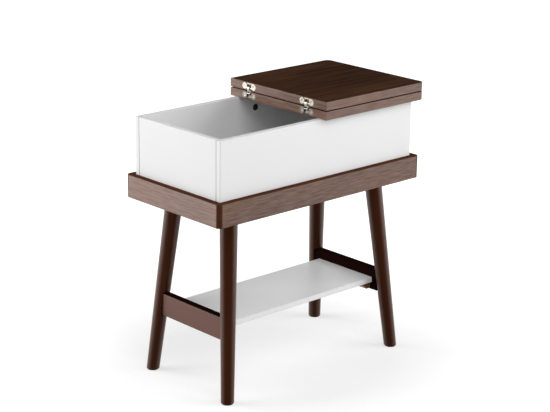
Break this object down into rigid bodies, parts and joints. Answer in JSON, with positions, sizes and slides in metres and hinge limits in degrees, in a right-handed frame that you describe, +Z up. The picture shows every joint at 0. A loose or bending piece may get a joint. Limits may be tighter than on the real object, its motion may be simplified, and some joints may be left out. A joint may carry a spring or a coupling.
{
  "type": "flip-top end table",
  "caption": "Narrow end table with splayed round legs, a low shelf and a storage box set in a tray frame; half of the top flips over on concealed hinges to open the box.",
  "frame": {"origin": "middle of the table on the floor, at half the length of the tray and on the hinge line of the top", "axes": "+X along the length towards the fixed leaf, +Y towards the rear, +Z up"},
  "size_m": [0.588, 0.3, 0.6085],
  "materials": {
    "leaf_wood": "satin dark walnut veneer",
    "rail_wood": "satin dark walnut",
    "leg_wood": "satin dark walnut stain",
    "stretcher_wood": "satin dark walnut stain",
    "cleat_wood": "satin walnut stain",
    "box_board": "white lacquered board",
    "base_board": "white lacquered board",
    "shelf_board": "white lacquered board",
    "pad_plastic": "dark moulded pad",
    "plate_steel": "zinc plated steel",
    "hinge_casting": "satin nickel plated casting",
    "link_bright": "satin nickel plated steel",
    "link_dark": "oiled steel",
    "pin_steel": "ground steel",
    "hinge_screw_steel": "nickel plated steel",
    "screw_steel": "zinc plated steel",
    "cam_metal": "black die casting",
    "cam_bolt_steel": "zinc plated steel",
    "dowel_wood": "plain beech"
  },
  "bodies": {
    "frame": {"base_panel": "base_board", "box_front": "box_board", "box_left": "box_board", "box_rear": "box_board", "box_right": "box_board", "box_screws": "screw_steel", "cleat_dowels": "dowel_wood", "cleat_left": "cleat_wood", "cleat_right": "cleat_wood", "corner_cam_bolts": "cam_bolt_steel", "corner_cam_locks": "cam_metal", "corner_dowels": "dowel_wood", "fixed_leaf": "leaf_wood", "foot_pad_front_left": "pad_plastic", "foot_pad_front_right": "pad_plastic", "foot_pad_rear_left": "pad_plastic", "foot_pad_rear_right": "pad_plastic", "hanger_bolts": "screw_steel", "hinge_half_fixed_front": "hinge_casting", "hinge_half_fixed_rear": "hinge_casting", "hinge_pins_fixed": "pin_steel", "hinge_screws_fixed": "hinge_screw_steel", "leaf_cam_bolts": "cam_bolt_steel", "leaf_cam_locks": "cam_metal", "leg_front_left": "leg_wood", "leg_front_right": "leg_wood", "leg_plate_front_left": "plate_steel", "leg_plate_front_right": "plate_steel", "leg_plate_rear_left": "plate_steel", "leg_plate_rear_right": "plate_steel", "leg_rear_left": "leg_wood", "leg_rear_right": "leg_wood", "plate_screws": "screw_steel", "rail_dowels": "dowel_wood", "rail_front": "rail_wood", "rail_left": "rail_wood", "rail_rear": "rail_wood", "rail_right": "rail_wood", "shelf": "shelf_board", "shelf_screws": "screw_steel", "stretcher_dowels": "dowel_wood", "stretcher_left": "stretcher_wood", "stretcher_right": "stretcher_wood"},
    "flip_leaf": {"flip_leaf": "leaf_wood", "hinge_half_flip_front": "hinge_casting", "hinge_half_flip_rear": "hinge_casting", "hinge_pins_flip": "pin_steel", "hinge_screws_flip": "hinge_screw_steel"},
    "fixed_links": {"hinge_link_fixed_front": "link_dark", "hinge_link_fixed_rear": "link_dark"},
    "flip_links": {"hinge_link_flip_front": "link_bright", "hinge_link_flip_rear": "link_bright", "hinge_centre_pins": "pin_steel"}
  },
  "joints": [
    {"name": "flip_hinge", "type": "hinge", "parent": "frame", "child": "flip_leaf", "pos_m": [0, 0, 0.58925], "axis": [0, -1, 0], "range_deg": [0, 180]},
    {"name": "fixed_link_pivot", "type": "hinge", "parent": "frame", "child": "fixed_links", "pos_m": [0.0024, 0, 0.58325], "axis": [0, -1, 0], "range_deg": [0, 180]},
    {"name": "flip_link_pivot", "type": "hinge", "parent": "flip_leaf", "child": "flip_links", "pos_m": [0.0024, 0, 0.59525], "axis": [0, -1, 0], "range_deg": [-180, 0]}
  ],
  "couplings": [
    {"joint": "fixed_link_pivot", "follows": "flip_hinge", "ratio": 1},
    {"joint": "flip_link_pivot", "follows": "flip_hinge", "ratio": -1}
  ]
}
